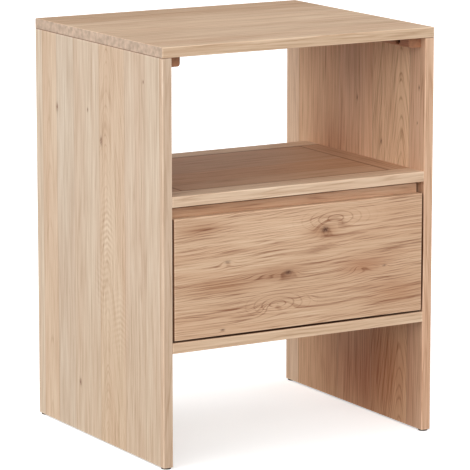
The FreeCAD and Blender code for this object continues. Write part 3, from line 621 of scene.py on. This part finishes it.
def dress_shelf():
    """The frame-and-panel shelf: painted shade on its panel and side rails, and dark lines, partly
    painted shade, where the panel meets its frame.
    """
    frame_lines = [
        ("X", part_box("shelf_left_rail")[1][0], SHELF_JOINT),
        ("X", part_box("shelf_right_rail")[0][0], SHELF_JOINT),
        ("Y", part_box("shelf_front_rail")[1][1], SHELF_JOINT),
        ("Y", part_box("shelf_rear_rail")[0][1], SHELF_REAR_JOINT)]
    dress_oak("shelf_panel", "X", "Y", False,
              edge_glued(0.4, -0.1925, 0.1325, (70, 60, 80, 50), (PLAIN, WARM, GREY, PLAIN)),
              seams=frame_lines, cast=SHELF_SHADE_CAST)
    for node, heart in (("shelf_front_rail", -0.150), ("shelf_rear_rail", 0.070)):
        dress_oak(node, "X", "Y", False, [Stave(0.2, heart, 0.04, 0.03, 0.7, PLAIN)],
                  seams=frame_lines[2:], cast=SHELF_EDGE_CAST)
    for node, heart in (("shelf_left_rail", -0.260), ("shelf_right_rail", 0.120)):
        dress_oak(node, "Y", "X", False, [Stave(0.22, heart, 0.05, 0.02, 0.6, PLAIN)],
                  seams=frame_lines[:2], cast=SHELF_SHADE_CAST)


def dress_cabinet():
    """The carcass: sides with upright grain, and the other boards' grain along their length."""
    dress_left_side()
    dress_right_side()
    dress_shelf()
    dress_oak("top_panel", "X", "Y", False, [
        Stave(-0.120, -0.250, 0.040, 0.02, 0.5, PALE),
        Stave(-0.040, 0.060, 0.060, -0.02, 0.5, PLAIN),
        Stave(0.050, -0.060, 0.050, 0.02, 0.5, PALE),
        Stave(0.105, 0.200, 0.050, 0.02, 0.5, PLAIN),
        Stave(0.193, 0.060, 0.060, -0.02, 0.6, DEEP)],
        cast=TOP_CAST, contrast=1.25)
    # The bottom board gets painted shade in the gap under the drawer's face.
    dress_oak("bottom_panel", "X", "Y", False,
              edge_glued(2.9, -0.1925, 0.1325, (60, 80, 55, 70), (WARM, PLAIN, PALE, GREY)),
              gaps=[gap_shade(0.0, 0.230)])
    # The cleats' darker oak is partly painted shade under the top.
    for node in ("left_top_cleat", "right_top_cleat"):
        dress_oak(node, "Y", "Z", True, [Stave(0.6, 0.540, 0.03, 0.03, 0.6, PLAIN)],
                  palette=SHADED_CLEAT_OAK)
    dress_oak("drawer_bay_back", "X", "Z", False,
              edge_glued(5.0, 0.181, 0.3745, (90, 100), (PLAIN, GREY)))


def dress_drawer_face():
    """One wide, lively board: wavy rings that open into eyes round two knots."""
    knots = (
        Knot(0.059, 0.335, 0.032, 0.0110, 6.5, 0.0),
        Knot(0.041, 0.320, 0.015, 0.0100, 5.0, 1.00),
        Knot(-0.021, 0.264, 0.016, 0.0075, 4.5, 0.95),
        Knot(-0.055, 0.264, 0.026, 0.0050, 2.5, 0.0),
        Knot(-0.121, 0.289, 0.012, 0.0050, 3.0, 0.55),
        Knot(-0.129, 0.192, 0.008, 0.0032, 1.5, 0.80),
        Knot(-0.038, 0.220, 0.030, 0.0110, 6.5, 0.0),
        Knot(0.011, 0.224, 0.014, 0.0070, 3.0, 0.0),
        Knot(0.106, 0.260, 0.028, 0.0080, 4.0, 0.0),
        Knot(0.142, 0.2575, 0.008, 0.0035, 1.5, 0.60))
    patches = (
        Patch(0.038, 0.318, 0.026, 0.011, rgb(218, 198, 182)),
        Patch(-0.035, 0.263, 0.044, 0.010, rgb(214, 194, 180)),
        Patch(0.106, 0.260, 0.044, 0.013, rgb(222, 196, 180)),
        Patch(-0.166, 0.339, 0.040, 0.013, rgb(222, 204, 192)),
        Patch(-0.030, 0.328, 0.150, 0.024, PALER),
        Patch(0.165, 0.214, 0.060, 0.017, rgb(218, 192, 174)),
        Patch(-0.130, 0.255, 0.060, 0.012, rgb(226, 208, 194)))
    dress_oak("drawer_face", "X", "Z", True, [Stave(0.36, 0.450, 0.020, 0.05, 1.0, PLAIN)],
              knots=knots, patches=patches, palette=DRAWER_OAK, ring=0.0024, wander=1.35,
              fineness=1.3, cast=FACE_CAST)


def dress_drawer():
    """The drawer: one wide, lively board in front, and plainer boards behind it."""
    dress_drawer_face()
    darker_left = Patch(-0.150, 0.365, 0.130, 0.060, rgb(236, 228, 220))
    dress_oak("drawer_box_front", "X", "Z", True, [Stave(0.38, 0.300, 0.05, 0.03, 0.7, PLAIN)],
              patches=[darker_left], palette=DRAWER_OAK, cast=BOX_FRONT_CAST)
    for node in ("drawer_left_side", "drawer_right_side"):
        dress_oak(node, "Y", "Z", True, [Stave(0.36, 0.250, 0.05, 0.03, 0.6, PLAIN)])
    dress_oak("drawer_back", "X", "Z", False, [Stave(0.36, 0.290, 0.05, 0.03, 0.6, PLAIN)])
    dress_oak("drawer_bottom", "X", "Y", False,
              edge_glued(1.2, -0.1705, 0.115, (90, 100, 90), (PLAIN, PALE, PLAIN)))


# ---------------------------------------------------------------- fittings

def speckled(name, colour, roughness, metallic=0.0, grain=(60.0, 60.0, 60.0), spread=0.25):
    """A plain finish with the small changes of tone and gloss that a made surface has.

    grain is its waves per metre along X, Y and Z, and spread is how far its tone varies.
    """
    material, shader = new_material(name, roughness, metallic)
    tree = material.node_tree
    coordinates = tree.nodes.new("ShaderNodeTexCoord")
    here = split(tree, coordinates.outputs["Object"])
    wear = noise(here, grain, 4.0)
    darker = tuple(level * (1 - spread) for level in colour)
    lighter = tuple(min(level * (1 + spread), 1.0) for level in colour)
    finish = ramp((wear + 0.5).clamped(), [(0.25, darker), (0.5, colour), (0.75, lighter)])
    tree.links.new(finish, shader.inputs["Base Color"])
    plug(tree, wear * 0.25 + roughness, shader.inputs["Roughness"])
    add_bump(tree, shader, wear, 0.15, 0.0002)
    return material


def dress_fittings():
    """Runners, screws, bolts, inserts, cams, dowels, buffers and glides."""
    rolled = speckled("rolled_zinc_steel", (0.62, 0.63, 0.65), 0.34, 1.0, (900.0, 12.0, 900.0))
    screw = speckled("zinc_screw", (0.66, 0.66, 0.64), 0.30, 1.0, (500.0, 500.0, 500.0))
    bronze = speckled("dark_bronze", rgb(74, 48, 36), 0.42, 0.8, (700.0, 700.0, 700.0))
    brass = speckled("machined_brass", (0.70, 0.50, 0.22), 0.30, 1.0, (20.0, 900.0, 900.0))
    cast = speckled("cast_zinc", (0.42, 0.42, 0.43), 0.50, 0.9, (800.0, 800.0, 800.0))
    ball = speckled("bearing_steel", (0.78, 0.78, 0.80), 0.12, 1.0, (300.0, 300.0, 300.0), 0.08)
    rubber = speckled("black_rubber", (0.022, 0.022, 0.022), 0.75, 0.0, (900.0, 900.0, 900.0))
    plastic = speckled("brown_plastic", rgb(78, 68, 58), 0.55, 0.0, (900.0, 900.0, 900.0))
    beech = speckled("beech", rgb(214, 178, 140), 0.60, 0.0, (300.0, 300.0, 300.0), 0.12)
    kinds = (
        (rolled, ("_member", "_ball_cage")),
        (ball, ("_balls",)),
        (screw, ("_screws", "_cam_bolts", "glide_nails")),
        (bronze, ("cleat_bolts",)),
        (brass, ("_inserts",)),
        (cast, ("_cams",)),
        (rubber, ("_buffers",)),
        (plastic, ("foot_glides",)),
        (beech, ("_dowels",)),
    )
    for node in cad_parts:
        for material, endings in kinds:
            if node.endswith(endings):
                dress(node, material)


# ---------------------------------------------------------------- studio

FLOOR_WIDTH = 200.0
FLOOR_WHITE = 0.97       # the floor's paint as the camera sees it
FLOOR_BOUNCE = 0.45      # its paint for the light that it throws back
FLOOR_FILL = 0.45        # the light of its own that the camera sees
DOME = 0.40              # the strength of the even light from all around
# Each soft lamp: the way to it from the nightstand, its strength and its width in degrees.
LAMPS = {
    "left": ((-0.86, -0.10, 0.50), 1.50, 60.0),
    "front": ((-0.22, -0.91, 0.35), 1.75, 60.0),
    "rear": ((-0.55, 0.70, 0.40), 0.85, 60.0),
    "right": ((0.93, 0.30, 0.16), 1.10, 60.0),
}


def add_floor():
    """A wide pale floor. It looks white, but throws back less light than white would."""
    bpy.ops.mesh.primitive_plane_add(size=FLOOR_WIDTH, location=(0.0, 0.0, 0.0))
    floor = bpy.context.object
    floor.name = "studio_floor"
    material, shader = new_material("studio_white", 0.9)
    shader.inputs["Specular IOR Level"].default_value = 0.0
    tree = material.node_tree
    path = tree.nodes.new("ShaderNodeLightPath")
    seen = Field(tree, path.outputs["Is Camera Ray"])
    paint = tinted(tree, (FLOOR_BOUNCE,) * 3, (FLOOR_WHITE,) * 3, seen)
    tree.links.new(paint, shader.inputs["Base Color"])
    tree.links.new(tinted(tree, (0.0,) * 3, (1.0,) * 3, seen), shader.inputs["Emission Color"])
    shader.inputs["Emission Strength"].default_value = FLOOR_FILL
    floor.data.materials.append(material)


def add_sun(name, towards, strength, softness):
    """A distant lamp that shines from a direction; softness is its width in degrees."""
    light = bpy.data.lights.new(name, "SUN")
    light.energy = strength
    light.angle = math.radians(softness)
    lamp = bpy.data.objects.new(name, light)
    lamp.rotation_euler = (-Vector(towards)).to_track_quat("-Z", "Y").to_euler()
    bpy.context.collection.objects.link(lamp)


def add_studio():
    """The floor, an even white dome and the lamps."""
    add_floor()
    world = bpy.data.worlds.new("studio")
    bpy.context.scene.world = world
    world.use_nodes = True
    background = world.node_tree.nodes["Background"]
    background.inputs["Color"].default_value = (1.0, 1.0, 1.0, 1.0)
    background.inputs["Strength"].default_value = DOME
    for name, (towards, strength, softness) in LAMPS.items():
        add_sun(name, towards, strength, softness)


CAMERA_AZIMUTH = -30.4       # degrees round from the front; to the left is negative
CAMERA_ELEVATION = 10.89     # degrees above the horizontal
CAMERA_DISTANCE = 4.797
CAMERA_TARGET = (0.004, 0.0, 0.2836)
LENS = 248.5                 # millimetres
SENSOR = 36.0                # millimetres across


def add_camera():
    """A long lens in front and to the left, a little above the top."""
    azimuth, elevation = math.radians(CAMERA_AZIMUTH), math.radians(CAMERA_ELEVATION)
    back = Vector((math.sin(azimuth) * math.cos(elevation),
                   -math.cos(azimuth) * math.cos(elevation), math.sin(elevation)))
    camera = bpy.data.objects.new("camera", bpy.data.cameras.new("camera"))
    camera.data.sensor_width = SENSOR
    camera.data.lens = LENS
    camera.location = Vector(CAMERA_TARGET) + back * CAMERA_DISTANCE
    camera.rotation_euler = (-back).to_track_quat("-Z", "Y").to_euler()
    camera.data.clip_end = 200.0
    bpy.context.collection.objects.link(camera)
    bpy.context.scene.camera = camera
    bpy.context.scene.view_settings.view_transform = "Standard"


dress_cabinet()
dress_drawer()
dress_fittings()
add_studio()
add_camera()
